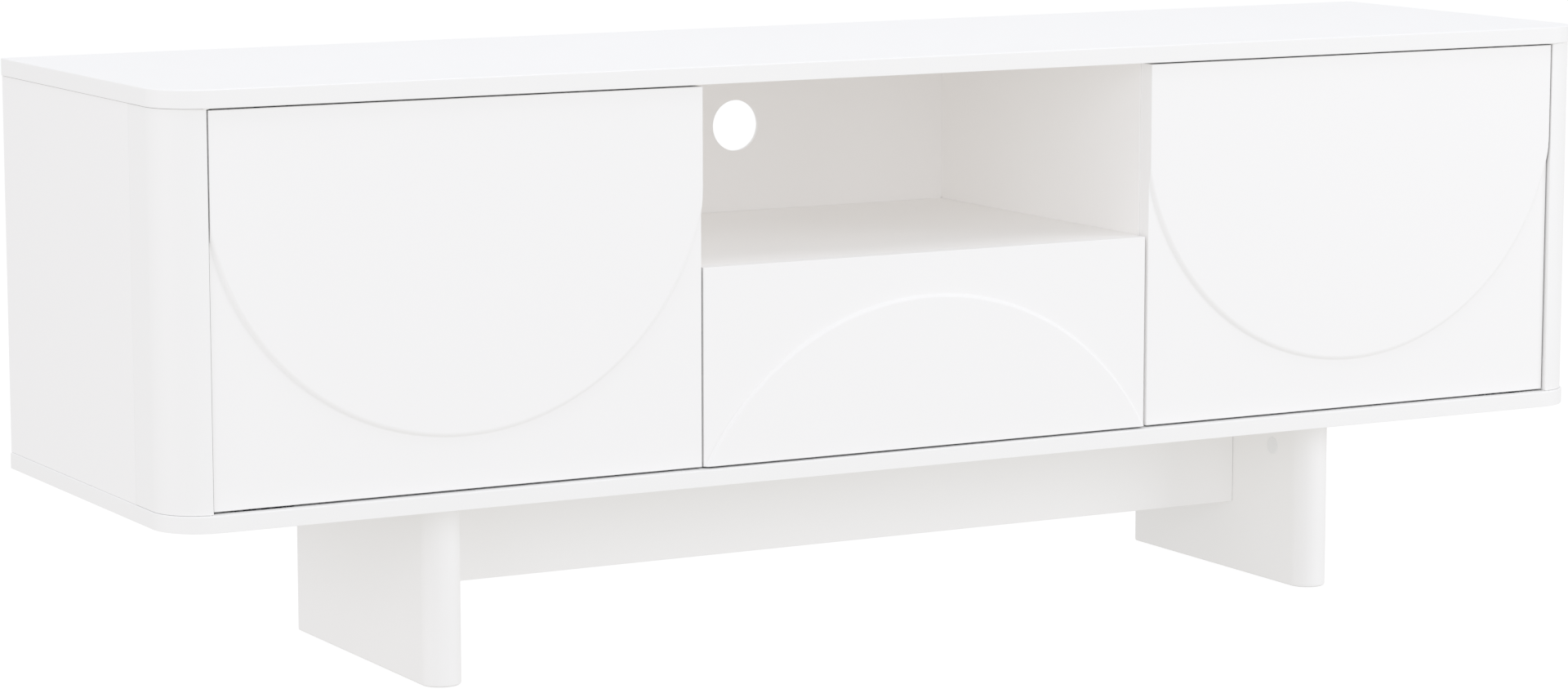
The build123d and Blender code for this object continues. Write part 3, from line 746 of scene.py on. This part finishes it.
def runnerScrews(name, node, body, inward):
    # inward is -1 where the heads look at the drawer and +1 where they look at the case
    low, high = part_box(node)
    middleZ = (low.z + high.z) / 2
    if inward < 0:
        web = high.x - runners["sheet"]
    else:
        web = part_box("drawer_right_side")[1].x + runners["sheet"]
    heads = [placeScrew((sign * (web + inward * runners["screwProud"]), low.y + step, middleZ),
                        (sign * inward, 0, 0), runners["screwRadius"],
                        runners["screwTurn"] + runners["turnPerMetre"] * step)
             for sign in (1, -1) for step in runners["screwPlaces"]]
    handOver(joinPieces(name, heads), body, [], None)


def runnerBalls(name, node, body, cageWidth):
    # one row at the upper right, mirrored to the left and then down
    low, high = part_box(node)
    bpy.ops.object.select_all(action="DESELECT")
    bpy.ops.mesh.primitive_ico_sphere_add(
        subdivisions=2, radius=runners["ballRadius"],
        location=(high.x - cageWidth / 2, low.y + runners["ballPitch"] / 2, high.z - runners["cageHeight"] / 2))
    row = bpy.context.object
    applyPlace()
    copies = row.modifiers.new("row", "ARRAY")
    copies.count = int((high.y - low.y) / runners["ballPitch"])
    copies.use_relative_offset = False
    copies.use_constant_offset = True
    copies.constant_offset_displace = (0, runners["ballPitch"], 0)
    bpy.ops.object.modifier_apply(modifier=copies.name)
    middleZ = (low.z + high.z) / 2
    for mirror, centre in (((-1, 1, 1), (0, 0, 0)), ((1, 1, -1), (0, 0, middleZ))):
        bpy.ops.object.duplicate()
        other = bpy.context.object
        bpy.ops.object.mode_set(mode="EDIT")
        bpy.ops.mesh.select_all(action="SELECT")
        bpy.ops.transform.resize(value=mirror, center_override=centre)
        bpy.ops.mesh.normals_make_consistent(inside=False)
        bpy.ops.object.mode_set(mode="OBJECT")
        row = joinPieces(name, [row, other])
    bpy.ops.object.shade_smooth()
    handOver(row, body, [], "zincSteel")


runnerScrews("runnerCaseScrews", "runner_outer_members", "carcass", -1)
runnerScrews("runnerDrawerScrews", "runner_inner_members", "drawer", 1)
runnerBalls("outerBalls", "runner_outer_cages", "runner_outer_cage_set", runners["outerCageWidth"])
runnerBalls("innerBalls", "runner_inner_cages", "runner_inner_cage_set", runners["innerCageWidth"])
bpy.data.objects.remove(screwHead)
print("runner screws and balls made")

# ---- finishes of the frame's own nodes
nodeFinishes = {
    "whiteMelamine": ["drawer_bottom"],
    "beech": ["case_tongues", "stretcher_tongues", "drawer_tongues"],
    "zincSteel": ["leg_bolts", "runner_outer_members", "runner_middle_members", "runner_inner_members"],
    "greyPlastic": ["runner_outer_cages", "runner_inner_cages"],
    "whiteFelt": ["leg_glides"],
}
for finish, names in nodeFinishes.items():
    for name in names:
        giveFinish(nodes[name], finish)
print("frame nodes finished")

# ---- floor and light
coolWhite = (0.98, 1.0, 1.06)
studio = {
    "floorSize": 80.0, "floorColor": (0.12, 0.12, 0.12, 1), "floorRoughness": 0.9,
    "floorLook": (0.95, 0.95, 0.95, 1), "floorGlow": (0.445, 0.437, 0.415, 1),
    "skyColor": (*coolWhite, 1), "skyStrength": 0.529, "filmGamma": 2.0, "bounces": 8,
    "lights": {  # place, target, width, height, power, colour
        "top": ((0, 0, 3.2), (0, 0, 0.5), 4.0, 3.0, 50.7, coolWhite),
        "front": ((-0.6, -4.5, 1.2), (0, 0, 0.35), 4.0, 2.0, 14.8, coolWhite),
        "rightFront": ((4.0, -3.4, 1.4), (0.3, 0, 0.4), 2.4, 2.4, 78.4, coolWhite),
        "leftFront": ((-4.2, -3.2, 1.4), (-0.3, 0, 0.4), 2.4, 2.4, 31.5, coolWhite),
        "left": ((-4.8, -0.4, 1.2), (-0.5, 0, 0.4), 2.4, 2.0, 25.2, (1.03, 0.99, 1.05)),
    },
}


def addFloor():
    # the floor looks pale to the camera and throws a softer light back at the furniture
    bpy.ops.object.select_all(action="DESELECT")
    bpy.ops.mesh.primitive_plane_add(size=studio["floorSize"])
    floor = bpy.context.object
    floor.name = "floor"
    material = bpy.data.materials.new("studio floor")
    material.use_nodes = True
    tree = material.node_tree
    shader = tree.nodes["Principled BSDF"]
    shader.inputs["Base Color"].default_value = studio["floorColor"]
    shader.inputs["Roughness"].default_value = studio["floorRoughness"]
    shader.inputs["Specular IOR Level"].default_value = 0.0
    shader.inputs["Emission Strength"].default_value = 1.0
    ray = addNode(tree, "ShaderNodeLightPath")
    glow = addNode(tree, "ShaderNodeMix", data_type="RGBA")
    glow.inputs[6].default_value = studio["floorGlow"]
    glow.inputs[7].default_value = studio["floorLook"]
    tree.links.new(ray.outputs["Is Camera Ray"], glow.inputs[0])
    tree.links.new(glow.outputs[2], shader.inputs["Emission Color"])
    floor.data.materials.append(material)


def addLights():
    for name, (place, target, width, height, power, color) in studio["lights"].items():
        bpy.ops.object.light_add(type="AREA", location=place)
        light = bpy.context.object
        light.name = name + "Light"
        light.rotation_euler = (Vector(target) - Vector(place)).to_track_quat("-Z", "Y").to_euler()
        light.data.shape = "RECTANGLE"
        light.data.size = width
        light.data.size_y = height
        light.data.energy = power
        light.data.color = color
    world = bpy.context.scene.world or bpy.data.worlds.new("studio")
    bpy.context.scene.world = world
    world.use_nodes = True
    sky = world.node_tree.nodes["Background"]
    sky.inputs["Color"].default_value = studio["skyColor"]
    sky.inputs["Strength"].default_value = studio["skyStrength"]


addFloor()
addLights()
bpy.context.scene.view_settings.view_transform = "Standard"
bpy.context.scene.view_settings.look = "None"
bpy.context.scene.view_settings.gamma = studio["filmGamma"]
bpy.context.scene.cycles.diffuse_bounces = studio["bounces"]  # light has to find its way out of the niche
print("studio made")
